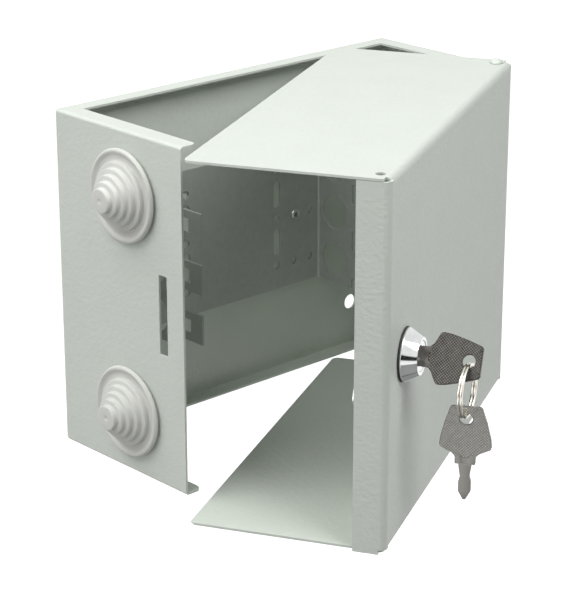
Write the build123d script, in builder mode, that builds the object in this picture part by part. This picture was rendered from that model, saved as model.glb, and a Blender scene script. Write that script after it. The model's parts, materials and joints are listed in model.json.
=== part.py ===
"""Wall-mounted, key-lockable sheet-metal distribution box, standing open.

Origin at the centre of the back face, on the wall. +X to the right as seen from the front,
+Y into the wall, +Z up. All lengths in millimetres.
"""
import os
from math import cos, radians, sin, sqrt

from build123d import *

os.makedirs("parts", exist_ok=True)

# sheet and outer sizes
SHEET = 1.0
BASE_W = 190.0
BASE_H = 147.0
BASE_D = 80.0
BASE_BEND = 1.5
LIP = 8.5
LIP_TIP_R = 3.0

# openings in the base
FIX_X = 150.0
FIX_Z = 104.0
FIX_DIA = 7.0
CAM_SLOT_LEN = 34.0
CAM_SLOT_W = 5.0
CAM_SLOT_Y = 67.7
CAM_SLOT_Z = 1.0

# hinge
PIVOT_X = 90.0
PIVOT_Y = -75.8
EAR_R = 4.0
EAR_NECK = 2.4
EAR_ROOT_Y = 65.0
RIVET_DIA = 4.0
RIVET_PLAY = 0.07
RIVET_HEAD_DIA = 5.8
RIVET_HEAD_H = 2.0
RIVET_TAIL_DIA = 5.6
RIVET_TAIL_H = 1.1
HINGE_WASHER_DIA = 5.6
HINGE_WASHER_T = 0.8

# cover: u runs along its front from the left edge, v runs inward from its front face
COVER_W = 193.0
COVER_D = 81.3
COVER_GAP = 0.9
COVER_BEND = 3.0
FLANGE = 13.4
FLANGE_GAP = 0.2
FLANGE_OVER = 0.6
BACK_CORNER_R = 3.0
PIVOT_U = 186.5
PIVOT_V = 5.9
SPARE_HOLE_U = 6.5
REST_OPEN = 28.578
EAR_CLEAR = 0.8

# grommets
GROMMET_Y = 45.0
GROMMET_Z = 46.5
GROMMET_FLANGE_R = 19.6
GROMMET_FLANGE_T = 3.0
GROMMET_WELL_R = 16.2
GROMMET_WELL_T = 1.6
GROMMET_NECK_R = 15.0
GROMMET_LIP_R = 17.0
GROMMET_LIP_T = 2.0
GROMMET_STEPS = 5
GROMMET_STEPS_R = 14.3
GROMMET_STEP = 2.25
GROMMET_FIRST_H = 4.0
GROMMET_SKIN = 1.4
GROMMET_DIMPLE_R = 0.8

# chassis for the modules
UNITS = 3
UNIT_PITCH = 22.5
CHASSIS_W = 108.0
CHASSIS_D = 42.5
CHASSIS_BEND = 2.0
WING_SOLID = 23.0
TAB_H = 13.3
TAB_WINDOW_D = 5.0
TAB_WINDOW_H = 6.0
TAB_WINDOW_Y = 33.5
WING_HOLE_DIA = 16.0
WING_HOLE_Y = 12.8
COLUMN_X = 54.0
COLUMN_HOLE_DIA = 3.8
COLUMN_SLOT_W = 4.2
COLUMN_SLOT_LEN = 13.0
SMALL_HOLE_DIA = 3.2
OUTER_HOLES_X = 95.0
INNER_HOLES_X = 75.2
EYELETS_X = 76.0
EYELET_DIA = 3.0
EYELET_HEAD_DIA = 5.4
EYELET_RIM_DIA = 4.8
EYELET_RIM_H = 1.2
EYELET_BORE = 1.9

# lock
LOCK_U = 22.3
LOCK_Z = -0.5
LOCK_RIM_R = 10.7
LOCK_RIM_T = 0.8
LOCK_FACE_R = 7.3
LOCK_OUT = 7.1
GASKET_T = 0.8
GASKET_R = 10.9
LOCK_BODY_R = 9.2
LOCK_FLATS = 16.0
LOCK_BODY_IN = 13.0
PANEL_PLAY = 0.1
LOCK_NUT_AF = 22.0
LOCK_NUT_T = 4.0
LOCK_STAR_R = 12.4
LOCK_STAR_T = 0.9
PLUG_HEAD_R = 5.95
PLUG_R = 5.0
PLUG_FACE = 6.8
PLUG_HEAD_T = 1.75
PLUG_PLAY = 0.06
CAM_GAP = 0.8
CAM_T = 2.0
CAM_W = 16.0
CAM_REACH = 22.6
CAM_BOSS_R = 4.0
CAM_BOSS_FLATS = 6.0
CAM_WASHER_R = 4.6
CAM_WASHER_T = 0.8
SCREW_DIA = 4.0
SCREW_HEAD_R = 3.6
SCREW_HEAD_T = 2.4
SCREW_LEN = 5.5
LOCK_TURN = 28.0

# keys and ring
KEY_T = 2.0
KEY_PLAY = 0.1
BOW_OUT = 10.3
BOW_LEN = 20.2
BOW_WIDE = 10.15
BOW_WIDE_AT = 3.5
BOW_END = 6.0
BOW_CORNER_R = 1.3
KEY_HOLE_DIA = 5.4
KEY_HOLE_AT = 15.3
SHANK_HALF = 4.05
BLADE_HALF = 2.5
BLADE_WAIST = 1.8
BLADE_TIP = 0.6
BLADE_SHOULDER = 1.2
BLADE_NECK = 5.0
BLADE_PAD = 7.3
BLADE_PAD_END = 11.3
BLADE_LEN = 14.8
RING_R = 10.8
RING_WALL = 1.4
RING_COIL = 1.05
RING_GAP = 0.1
RING_WEB = 0.6
RING_PLAY = 0.06
RING_TURN = 2.3
SPARE_YAW = 6.0

# places that follow from the sizes above
swing = radians(REST_OPEN)
across = Vector(cos(swing), sin(swing), 0)
inward = Vector(-sin(swing), cos(swing), 0)
outward = inward * -1
up = Vector(0, 0, 1)
pivot = Vector(PIVOT_X, PIVOT_Y, 0)
cover_corner = pivot - across * PIVOT_U - inward * PIVOT_V
COVER_H = BASE_H + 2 * (COVER_GAP + SHEET)
door_plan = Plane(origin=cover_corner, x_dir=across, z_dir=up)
door_end = Plane(origin=cover_corner, x_dir=inward, z_dir=across)
lock_centre = cover_corner + across * LOCK_U + up * LOCK_Z
lock_front = Plane(origin=lock_centre, x_dir=across, z_dir=outward)
left_side = Plane(origin=(-BASE_W / 2, 0, 0), x_dir=(0, -1, 0), z_dir=(-1, 0, 0))
hinge_top = Plane(origin=(PIVOT_X, PIVOT_Y, BASE_H / 2), z_dir=(0, 0, 1))
BOTTOM = (Align.CENTER, Align.CENTER, Align.MIN)
TOP = (Align.CENTER, Align.CENTER, Align.MAX)


# base pan: shell folded from one sheet, open at the front, with lips round its top and bottom
with BuildPart() as base_pan:
    with BuildSketch(Plane.XY.offset(-BASE_H / 2)):
        with Locations((0, -BASE_D / 2)):
            Rectangle(BASE_W, BASE_D)
    extrude(amount=BASE_H)
    fillet(base_pan.edges().filter_by_position(Axis.Y, -BASE_D + SHEET, SHEET), BASE_BEND)
    offset(amount=-SHEET, openings=base_pan.faces().sort_by(Axis.Y)[0])
    # open middle of the top and the bottom
    lip_left = -BASE_W / 2 + LIP
    lip_right = PIVOT_X - EAR_R
    with BuildSketch(Plane.XY.offset(-BASE_H / 2)) as lip_opening:
        with Locations(((lip_left + lip_right) / 2, -(BASE_D + LIP) / 2)):
            Rectangle(lip_right - lip_left, BASE_D - LIP)
    extrude(amount=BASE_H, mode=Mode.SUBTRACT)
    # rounded inner tips of the left lips
    fillet(
        base_pan.edges().filter_by(Axis.Z).filter_by_position(Axis.X, lip_left - 0.01, lip_left + 0.01)
        .filter_by_position(Axis.Y, -BASE_D - 0.01, -BASE_D + 0.01),
        LIP_TIP_R,
    )
    # right wall cut back behind the hinge
    with BuildSketch(Plane.XY.offset(-BASE_H / 2)):
        with Locations((BASE_W / 2, -EAR_ROOT_Y)):
            Rectangle(2 * LIP + 4 * SHEET, 2 * LIP, align=(Align.CENTER, Align.MAX))
    extrude(amount=BASE_H, mode=Mode.SUBTRACT)
    # hinge ears carrying on from the right lips
    with BuildSketch(Plane.XY.offset(BASE_H / 2 - SHEET), Plane.XY.offset(-BASE_H / 2)):
        with Locations((PIVOT_X, PIVOT_Y)):
            Circle(EAR_R)
        with Locations((PIVOT_X - EAR_R, PIVOT_Y)):
            Rectangle(EAR_R + EAR_NECK, -PIVOT_Y - EAR_ROOT_Y + SHEET, align=(Align.MIN, Align.MIN))
        with Locations((PIVOT_X, PIVOT_Y)):
            Circle(RIVET_DIA / 2, mode=Mode.SUBTRACT)
    extrude(amount=SHEET)
    # wall-fixing holes and eyelet holes in the back panel
    with BuildSketch(Plane.XZ):
        with GridLocations(FIX_X, FIX_Z, 2, 2):
            Circle(FIX_DIA / 2)
        with GridLocations(EYELETS_X, 0, 2, 1):
            Circle(EYELET_HEAD_DIA / 2)
    extrude(amount=SHEET, mode=Mode.SUBTRACT)
    # grommet holes and cam slot in the left wall
    with BuildSketch(left_side):
        with Locations((GROMMET_Y, GROMMET_Z), (GROMMET_Y, -GROMMET_Z)):
            Circle(GROMMET_NECK_R)
        with Locations((CAM_SLOT_Y, CAM_SLOT_Z)):
            RectangleRounded(CAM_SLOT_W, CAM_SLOT_LEN, CAM_SLOT_W / 12)
    extrude(amount=-2 * SHEET, mode=Mode.SUBTRACT)
base_pan.part.label = "base_pan"
export_step(base_pan.part, "parts/base_pan.step")


# cover: front panel with folded top, bottom and side flanges
with BuildPart() as cover:
    # side flanges with their vertical bends, from under the top panel down past the bottom one
    flange_top = COVER_H / 2 - SHEET - FLANGE_GAP
    flange_low = COVER_H / 2 + FLANGE_OVER
    with BuildSketch(door_plan.offset(-flange_low)):
        with BuildLine():
            FilletPolyline(
                (COVER_BEND + SHEET, SHEET / 2),
                (SHEET / 2, SHEET / 2),
                (SHEET / 2, FLANGE),
                radius=COVER_BEND - SHEET / 2,
            )
        trace(line_width=SHEET)
        with BuildLine():
            FilletPolyline(
                (COVER_W - COVER_BEND - SHEET, SHEET / 2),
                (COVER_W - SHEET / 2, SHEET / 2),
                (COVER_W - SHEET / 2, FLANGE),
                radius=COVER_BEND - SHEET / 2,
            )
        trace(line_width=SHEET)
    extrude(amount=flange_low + flange_top)
    # lower ends of the vertical bends, level with the upper ones
    with BuildSketch(door_plan.offset(-flange_low)):
        with Locations((0, 0), (COVER_W, 0)):
            Rectangle(2 * (COVER_BEND + SHEET), 2 * COVER_BEND)
    extrude(amount=flange_low - flange_top, mode=Mode.SUBTRACT)
    # right flange shortened behind its bend, clear of the hinge ears
    short_half = BASE_H / 2 - SHEET - EAR_CLEAR
    with BuildSketch(door_end.offset(COVER_W - 2 * SHEET)):
        with Locations((FLANGE + COVER_BEND, short_half)):
            Rectangle(2 * FLANGE, 4 * SHEET + EAR_CLEAR, align=(Align.CENTER, Align.MIN))
        with Locations((FLANGE + COVER_BEND, -short_half)):
            Rectangle(2 * FLANGE, 4 * SHEET + EAR_CLEAR, align=(Align.CENTER, Align.MAX))
    extrude(amount=3 * SHEET, mode=Mode.SUBTRACT)
    # front, top and bottom as one folded channel between the side bends
    with BuildSketch(door_end.offset(COVER_BEND)):
        with BuildLine():
            FilletPolyline(
                (COVER_D, (COVER_H - SHEET) / 2),
                (SHEET / 2, (COVER_H - SHEET) / 2),
                (SHEET / 2, -(COVER_H - SHEET) / 2),
                (COVER_D, -(COVER_H - SHEET) / 2),
                radius=COVER_BEND - SHEET / 2,
            )
        trace(line_width=SHEET)
    extrude(amount=COVER_W - 2 * COVER_BEND)
    # lower bend carried on to the flanges, following the curve of the vertical bends
    inset = SHEET + FLANGE_GAP
    with BuildSketch(door_end.offset(inset)):
        with BuildLine():
            FilletPolyline(
                (SHEET / 2, COVER_BEND + SHEET - COVER_H / 2),
                (SHEET / 2, (SHEET - COVER_H) / 2),
                (COVER_BEND + SHEET, (SHEET - COVER_H) / 2),
                radius=COVER_BEND - SHEET / 2,
            )
        trace(line_width=SHEET)
    extrude(amount=COVER_W - 2 * inset)
    with BuildSketch(door_plan.offset(-flange_low)):
        with Locations((COVER_W / 2, 0)):
            RectangleRounded(COVER_W, 4 * COVER_D, COVER_BEND, align=(Align.CENTER, Align.MIN))
    extrude(amount=2 * flange_low, mode=Mode.INTERSECT)
    # full width of the top panel, and the bottom panel between the flanges
    with BuildSketch(door_plan.offset(COVER_H / 2 - SHEET)) as top_panel:
        with Locations((COVER_W / 2, COVER_BEND)):
            Rectangle(COVER_W, COVER_D - COVER_BEND, align=(Align.CENTER, Align.MIN))
        fillet(top_panel.vertices().group_by(Axis.Y)[-1], BACK_CORNER_R)
    extrude(amount=SHEET)
    with BuildSketch(door_plan.offset(-COVER_H / 2)) as bottom_panel:
        with Locations((COVER_W / 2, COVER_BEND)):
            Rectangle(COVER_W - 2 * inset, COVER_D - COVER_BEND, align=(Align.CENTER, Align.MIN))
        fillet(bottom_panel.vertices().group_by(Axis.Y)[-1], BACK_CORNER_R)
    extrude(amount=SHEET)
    # hinge holes, used at the right and spare at the left, through both panels
    with BuildSketch(door_plan.offset(-COVER_H / 2)):
        with Locations((PIVOT_U, PIVOT_V), (SPARE_HOLE_U, PIVOT_V)):
            Circle(RIVET_DIA / 2 + RIVET_PLAY)
    extrude(amount=COVER_H, mode=Mode.SUBTRACT)
    # flatted hole for the lock
    with BuildSketch(lock_front):
        Circle(LOCK_BODY_R + PANEL_PLAY)
        Rectangle(LOCK_FLATS + 2 * PANEL_PLAY, 3 * LOCK_BODY_R, mode=Mode.INTERSECT)
    extrude(amount=-2 * SHEET, mode=Mode.SUBTRACT)
cover.part.label = "cover"
export_step(cover.part, "parts/cover.step")


# stepped cable grommets, hollow behind, snapped into the left wall
grommet_plane = Plane(origin=(-BASE_W / 2, -GROMMET_Y, GROMMET_Z), x_dir=(0, -1, 0), z_dir=(-1, 0, 0))
with BuildPart(grommet_plane) as upper_grommet:
    Cylinder(GROMMET_FLANGE_R, GROMMET_FLANGE_T, align=BOTTOM)
    fillet(upper_grommet.edges().group_by(Axis.X)[0], GROMMET_FLANGE_T * 0.45)
    with Locations((0, 0, GROMMET_WELL_T)):
        Cylinder(GROMMET_WELL_R, GROMMET_FLANGE_T, align=BOTTOM, mode=Mode.SUBTRACT)
    for step in range(GROMMET_STEPS):
        Cylinder(GROMMET_STEPS_R - step * GROMMET_STEP, GROMMET_FIRST_H + step * GROMMET_STEP, align=BOTTOM)
    Cylinder(GROMMET_NECK_R, SHEET + GROMMET_LIP_T, align=TOP)
    with Locations((0, 0, -SHEET)):
        Cylinder(GROMMET_LIP_R, GROMMET_LIP_T, align=TOP)
    inside = SHEET + GROMMET_LIP_T
    with Locations((0, 0, -inside)):
        for step in range(GROMMET_STEPS):
            rise = GROMMET_FIRST_H + step * GROMMET_STEP - GROMMET_SKIN + inside
            Cylinder(
                GROMMET_STEPS_R - step * GROMMET_STEP - GROMMET_SKIN, rise, align=BOTTOM, mode=Mode.SUBTRACT
            )
    nose_h = GROMMET_FIRST_H + (GROMMET_STEPS - 1) * GROMMET_STEP
    fillet(upper_grommet.edges().group_by(Axis.X)[0], GROMMET_STEP / 3)
    with Locations((0, 0, nose_h)):
        Cylinder(GROMMET_DIMPLE_R, GROMMET_SKIN / 2, align=TOP, mode=Mode.SUBTRACT)
upper_grommet.part.label = "upper_grommet"
export_step(upper_grommet.part, "parts/upper_grommet.step")

with BuildPart() as lower_grommet:
    with Locations((0, 0, -2 * GROMMET_Z)):
        add(upper_grommet.part)
lower_grommet.part.label = "lower_grommet"
export_step(lower_grommet.part, "parts/lower_grommet.step")


# chassis: folded bracket lying on the back panel, three tabs on each wing
CHASSIS_H = UNITS * UNIT_PITCH
with BuildPart() as chassis:
    wing_x = (CHASSIS_W - SHEET) / 2
    with BuildSketch(Plane.XY.offset(-CHASSIS_H / 2)):
        with BuildLine():
            FilletPolyline(
                (-wing_x, -SHEET - CHASSIS_D),
                (-wing_x, -1.5 * SHEET),
                (wing_x, -1.5 * SHEET),
                (wing_x, -SHEET - CHASSIS_D),
                radius=CHASSIS_BEND - SHEET / 2,
            )
        trace(line_width=SHEET)
    extrude(amount=CHASSIS_H)
    # gaps between the tabs
    with BuildSketch(Plane.YZ.offset(-CHASSIS_W)):
        with Locations((-SHEET - WING_SOLID - CHASSIS_D / 2, 0)):
            with GridLocations(1, UNIT_PITCH, 1, UNITS + 1):
                RectangleRounded(CHASSIS_D, UNIT_PITCH - TAB_H, SHEET)
        # round holes and small windows, one of each a unit
        with Locations((-WING_HOLE_Y, 0)):
            with GridLocations(1, UNIT_PITCH, 1, UNITS):
                Circle(WING_HOLE_DIA / 2)
        with Locations((-TAB_WINDOW_Y, 0)):
            with GridLocations(1, UNIT_PITCH, 1, UNITS):
                Rectangle(TAB_WINDOW_D, TAB_WINDOW_H)
    extrude(amount=2 * CHASSIS_W, mode=Mode.SUBTRACT)
    # holes and slots in the plate
    with BuildSketch(Plane.XZ.offset(SHEET)):
        with GridLocations(COLUMN_X, UNIT_PITCH, 2, UNITS):
            Circle(COLUMN_HOLE_DIA / 2)
        with GridLocations(COLUMN_X, UNIT_PITCH, 2, UNITS - 1):
            SlotOverall(COLUMN_SLOT_LEN, COLUMN_SLOT_W, rotation=90)
        with GridLocations(OUTER_HOLES_X, UNIT_PITCH, 2, UNITS):
            Circle(SMALL_HOLE_DIA / 2)
        with GridLocations(INNER_HOLES_X, (UNITS - 1) * UNIT_PITCH, 2, 2):
            Circle(SMALL_HOLE_DIA / 2)
        with GridLocations(EYELETS_X, 0, 2, 1):
            Circle(EYELET_DIA / 2)
    extrude(amount=SHEET, mode=Mode.SUBTRACT)
chassis.part.label = "chassis"
export_step(chassis.part, "parts/chassis.step")


# eyelets that hold the chassis: head flush in the back panel, rolled rim over the chassis
with BuildPart() as chassis_eyelets:
    with BuildSketch(Plane.XZ):
        with GridLocations(EYELETS_X, 0, 2, 1):
            Circle(EYELET_HEAD_DIA / 2)
    extrude(amount=SHEET)
    with BuildSketch(Plane.XZ.offset(SHEET)):
        with GridLocations(EYELETS_X, 0, 2, 1):
            Circle(EYELET_DIA / 2)
    extrude(amount=SHEET)
    with BuildSketch(Plane.XZ.offset(2 * SHEET)):
        with GridLocations(EYELETS_X, 0, 2, 1):
            Circle(EYELET_RIM_DIA / 2)
    extrude(amount=EYELET_RIM_H)
    fillet(chassis_eyelets.edges().group_by(Axis.Y)[0], EYELET_RIM_H * 0.6)
    with BuildSketch(Plane.XZ.offset(SHEET)):
        with GridLocations(EYELETS_X, 0, 2, 1):
            Circle(EYELET_BORE / 2)
    extrude(amount=SHEET + EYELET_RIM_H, mode=Mode.SUBTRACT)
chassis_eyelets.part.label = "chassis_eyelets"
export_step(chassis_eyelets.part, "parts/chassis_eyelets.step")


# hinge rivets: domed head over the cover, shank through cover and ear, tail under the ear
head_rise = COVER_GAP + SHEET + HINGE_WASHER_T / 8
with BuildPart(hinge_top) as top_hinge_rivet:
    with Locations((0, 0, head_rise)):
        Cylinder(RIVET_HEAD_DIA / 2, RIVET_HEAD_H, align=BOTTOM)
    fillet(top_hinge_rivet.edges().group_by(Axis.Z)[-1], RIVET_HEAD_H * 0.93)
    Cylinder(RIVET_DIA / 2, head_rise, align=BOTTOM)
    Cylinder(RIVET_DIA / 2, SHEET, align=TOP)
    with Locations((0, 0, -SHEET)):
        Cylinder(RIVET_TAIL_DIA / 2, RIVET_TAIL_H, align=TOP)
    fillet(top_hinge_rivet.edges().group_by(Axis.Z)[0], RIVET_TAIL_H * 0.6)
top_hinge_rivet.part.label = "top_hinge_rivet"
export_step(top_hinge_rivet.part, "parts/top_hinge_rivet.step")

with BuildPart() as bottom_hinge_rivet:
    mirror(top_hinge_rivet.part, about=Plane.XY)
bottom_hinge_rivet.part.label = "bottom_hinge_rivet"
export_step(bottom_hinge_rivet.part, "parts/bottom_hinge_rivet.step")

# thin washers between the ears and the cover
with BuildPart(hinge_top) as top_hinge_washer:
    Cylinder(HINGE_WASHER_DIA / 2, HINGE_WASHER_T, align=BOTTOM)
    Cylinder(RIVET_DIA / 2, HINGE_WASHER_T, align=BOTTOM, mode=Mode.SUBTRACT)
top_hinge_washer.part.label = "top_hinge_washer"
export_step(top_hinge_washer.part, "parts/top_hinge_washer.step")

with BuildPart() as bottom_hinge_washer:
    mirror(top_hinge_washer.part, about=Plane.XY)
bottom_hinge_washer.part.label = "bottom_hinge_washer"
export_step(bottom_hinge_washer.part, "parts/bottom_hinge_washer.step")


# lock housing: conical head in front of the panel, flatted body behind it, stepped bore
cone_from = GASKET_T + LOCK_RIM_T
with BuildPart(lock_front) as lock_housing:
    Cylinder(LOCK_BODY_R, LOCK_BODY_IN, align=TOP)
    Cylinder(LOCK_BODY_R, GASKET_T, align=BOTTOM)
    with BuildSketch(lock_front.offset(GASKET_T)):
        Rectangle(LOCK_FLATS, 3 * LOCK_BODY_R)
    extrude(amount=-LOCK_BODY_IN - GASKET_T, mode=Mode.INTERSECT)
    with Locations((0, 0, GASKET_T)):
        Cylinder(LOCK_RIM_R, LOCK_RIM_T, align=BOTTOM)
    with Locations((0, 0, cone_from)):
        Cone(LOCK_RIM_R, LOCK_FACE_R, LOCK_OUT - cone_from, align=BOTTOM)
    seat = PLUG_FACE - PLUG_HEAD_T - PLUG_PLAY
    with Locations((0, 0, seat)):
        Cylinder(PLUG_HEAD_R + PLUG_PLAY, LOCK_OUT, align=BOTTOM, mode=Mode.SUBTRACT)
    with Locations((0, 0, LOCK_OUT)):
        Cylinder(PLUG_R + PLUG_PLAY, LOCK_OUT + LOCK_BODY_IN, align=TOP, mode=Mode.SUBTRACT)
lock_housing.part.label = "lock_housing"
export_step(lock_housing.part, "parts/lock_housing.step")

with BuildPart(lock_front) as lock_gasket:
    Cylinder(GASKET_R, GASKET_T, align=BOTTOM)
    Cylinder(LOCK_BODY_R, GASKET_T, align=BOTTOM, mode=Mode.SUBTRACT)
lock_gasket.part.label = "lock_gasket"
export_step(lock_gasket.part, "parts/lock_gasket.step")

with BuildPart() as lock_washer:
    with BuildSketch(lock_front.offset(-SHEET)):
        Circle(LOCK_STAR_R)
        Circle(LOCK_BODY_R + PANEL_PLAY, mode=Mode.SUBTRACT)
        with PolarLocations(LOCK_STAR_R, 20):
            Rectangle(LOCK_STAR_T * 1.6, LOCK_STAR_T, mode=Mode.SUBTRACT)
    extrude(amount=-LOCK_STAR_T)
lock_washer.part.label = "lock_washer"
export_step(lock_washer.part, "parts/lock_washer.step")

with BuildPart() as lock_nut:
    with BuildSketch(lock_front.offset(-SHEET - LOCK_STAR_T)):
        RegularPolygon(LOCK_NUT_AF / 2, 6, major_radius=False)
        Circle(LOCK_BODY_R, mode=Mode.SUBTRACT)
    extrude(amount=-LOCK_NUT_T)
lock_nut.part.label = "lock_nut"
export_step(lock_nut.part, "parts/lock_nut.step")


# plug, cam, washer and screw turn together; the keyway stands at the rest angle
turn = radians(LOCK_TURN)
key_up = up * cos(turn) + across * sin(turn)
key_side = across * cos(turn) - up * sin(turn)
turned = Plane(origin=lock_centre, x_dir=key_side, z_dir=outward)
cam_face = LOCK_BODY_IN + CAM_GAP
blade_end = BLADE_LEN - PLUG_FACE
with BuildPart(turned) as lock_plug:
    with Locations((0, 0, PLUG_FACE)):
        Cylinder(PLUG_HEAD_R, PLUG_HEAD_T, align=TOP)
        Cylinder(PLUG_R, PLUG_FACE + cam_face, align=TOP)
    with BuildSketch(turned.offset(-cam_face)):
        Circle(CAM_BOSS_R)
        Rectangle(CAM_BOSS_FLATS, 3 * CAM_BOSS_R, mode=Mode.INTERSECT)
    extrude(amount=-CAM_T)
    with BuildSketch(turned.offset(PLUG_FACE)):
        Rectangle(KEY_T + 2 * KEY_PLAY, 2 * (BLADE_HALF + KEY_PLAY))
    extrude(amount=-PLUG_FACE - blade_end - 5 * KEY_PLAY, mode=Mode.SUBTRACT)
    with BuildSketch(turned.offset(-cam_face - CAM_T)):
        Circle(SCREW_DIA / 2)
    extrude(amount=SCREW_LEN - CAM_WASHER_T, mode=Mode.SUBTRACT)
lock_plug.part.label = "lock_plug"
export_step(lock_plug.part, "parts/lock_plug.step")

with BuildPart() as cam:
    with BuildSketch(turned.offset(-cam_face)) as cam_outline:
        Rectangle(CAM_W, CAM_REACH, align=(Align.CENTER, Align.MAX))
        Circle(CAM_REACH, mode=Mode.INTERSECT)
        fillet(cam_outline.vertices().group_by(Axis.Y)[0], CAM_T)
        Circle(CAM_W / 2)
        with BuildSketch(mode=Mode.SUBTRACT):
            Circle(CAM_BOSS_R)
            Rectangle(CAM_BOSS_FLATS, 3 * CAM_BOSS_R, mode=Mode.INTERSECT)
    extrude(amount=-CAM_T)
cam.part.label = "cam"
export_step(cam.part, "parts/cam.step")

washer_face = cam_face + CAM_T
with BuildPart() as cam_washer:
    with BuildSketch(turned.offset(-washer_face)):
        Circle(CAM_WASHER_R)
        Circle(SCREW_DIA / 2 + PANEL_PLAY, mode=Mode.SUBTRACT)
    extrude(amount=-CAM_WASHER_T)
cam_washer.part.label = "cam_washer"
export_step(cam_washer.part, "parts/cam_washer.step")

with BuildPart(turned) as cam_screw:
    with Locations((0, 0, -washer_face - CAM_WASHER_T)):
        Cylinder(SCREW_HEAD_R, SCREW_HEAD_T, align=TOP)
        Cylinder(SCREW_DIA / 2, SCREW_LEN, align=BOTTOM)
    with BuildSketch(turned.offset(-washer_face - CAM_WASHER_T - SCREW_HEAD_T)):
        Rectangle(SCREW_HEAD_R * 1.3, SCREW_DIA / 5)
        Rectangle(SCREW_DIA / 5, SCREW_HEAD_R * 1.3)
    extrude(amount=SCREW_HEAD_T / 2, mode=Mode.SUBTRACT)
cam_screw.part.label = "cam_screw"
export_step(cam_screw.part, "parts/cam_screw.step")


# key in the lock: flat blank in the plane of the lock axis and the key's upward direction
key_plane = Plane(origin=lock_centre, x_dir=outward, z_dir=key_side * -1)
with BuildPart() as key:
    with BuildSketch(key_plane) as key_outline:
        with BuildLine():
            Polyline(
                (PLUG_FACE, BLADE_HALF),
                (PLUG_FACE, SHANK_HALF),
                (BOW_OUT, SHANK_HALF),
                (BOW_OUT + BOW_WIDE_AT, BOW_WIDE),
                (BOW_OUT + BOW_LEN, BOW_END),
                (BOW_OUT + BOW_LEN, 0),
            )
            Polyline(
                (PLUG_FACE, BLADE_HALF),
                (PLUG_FACE - BLADE_SHOULDER, BLADE_HALF),
                (PLUG_FACE - BLADE_NECK, BLADE_WAIST),
                (PLUG_FACE - BLADE_PAD, BLADE_HALF),
                (PLUG_FACE - BLADE_PAD_END, BLADE_HALF),
                (PLUG_FACE - BLADE_LEN, BLADE_TIP),
                (PLUG_FACE - BLADE_LEN, 0),
                (BOW_OUT + BOW_LEN, 0),
            )
        make_face()
        mirror(about=Plane.XZ)
        bow_corners = key_outline.vertices().filter_by_position(Axis.X, BOW_OUT + 1, BOW_OUT + BOW_LEN + 1)
        fillet(bow_corners.filter_by_position(Axis.Y, -BOW_WIDE, -1), BOW_CORNER_R)
        bow_corners = key_outline.vertices().filter_by_position(Axis.X, BOW_OUT + 1, BOW_OUT + BOW_LEN + 1)
        fillet(bow_corners.filter_by_position(Axis.Y, BOW_END - 0.01, BOW_WIDE + 0.01), BOW_CORNER_R)
        with Locations((BOW_OUT + KEY_HOLE_AT, 0)):
            Circle(KEY_HOLE_DIA / 2, mode=Mode.SUBTRACT)
    extrude(amount=KEY_T / 2, both=True)
key.part.label = "key"
export_step(key.part, "parts/key.step")


# split ring: two flat coils, hanging on the lower edge of the key's hole
hole_r = KEY_HOLE_DIA / 2
coil_half = RING_COIL + RING_GAP / 2
ring_turn = radians(RING_TURN)
ring_across = across * cos(ring_turn) + outward * sin(ring_turn)
ring_reach = coil_half / cos(ring_turn) + KEY_T * sin(ring_turn)
edge_drop = sqrt(hole_r**2 - ring_reach**2)
rest_edge = key_up * -edge_drop - key_side * (KEY_T / 2)
ring_inner = RING_R - RING_WALL
hole_centre = lock_centre + outward * (BOW_OUT + KEY_HOLE_AT)
ring_centre = hole_centre + across * rest_edge.dot(across) + up * (rest_edge.Z - ring_inner + RING_PLAY)
ring_side = Plane(origin=ring_centre, x_dir=ring_across, z_dir=up * -1)
with BuildPart() as split_ring:
    with BuildSketch(ring_side):
        with Locations((RING_R - RING_WALL / 2, coil_half / 2 + RING_GAP / 4)):
            RectangleRounded(RING_WALL, RING_COIL, RING_COIL * 0.35)
        with Locations((RING_R - RING_WALL / 2, -coil_half / 2 - RING_GAP / 4)):
            RectangleRounded(RING_WALL, RING_COIL, RING_COIL * 0.35)
        with Locations((RING_R - RING_WALL / 2, 0)):
            Rectangle(RING_WEB, RING_COIL)
    revolve(axis=Axis(ring_centre, ring_across.cross(up)))
split_ring.part.label = "split_ring"
export_step(split_ring.part, "parts/split_ring.step")


# spare key: the same blank, hanging blade down on the lowest part of the ring
yaw = radians(REST_OPEN - 90 + SPARE_YAW)
plate_side = Vector(cos(yaw), sin(yaw), 0)
plate_normal = plate_side.cross(up)
spare_turn = radians(SPARE_YAW + RING_TURN)
edge_reach = coil_half / cos(spare_turn) + KEY_T / 2 * sin(spare_turn)
edge_rise = sqrt(hole_r**2 - edge_reach**2)
coil_rise = ring_inner - sqrt(ring_inner**2 - KEY_T**2)
spare_hole = ring_centre + up * (-ring_inner + coil_rise - edge_rise + RING_PLAY)
spare_origin = spare_hole - up * (BOW_OUT + KEY_HOLE_AT)
spare_plane = Plane(origin=spare_origin, x_dir=up, z_dir=plate_normal)
with BuildPart() as spare_key:
    with BuildSketch(spare_plane):
        add(key_outline.sketch_local)
    extrude(amount=KEY_T / 2, both=True)
spare_key.part.label = "spare_key"
export_step(spare_key.part, "parts/spare_key.step")
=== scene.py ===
import json
from math import cos, pi, radians, sin

import bpy
from mathutils import Matrix, Vector


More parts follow.
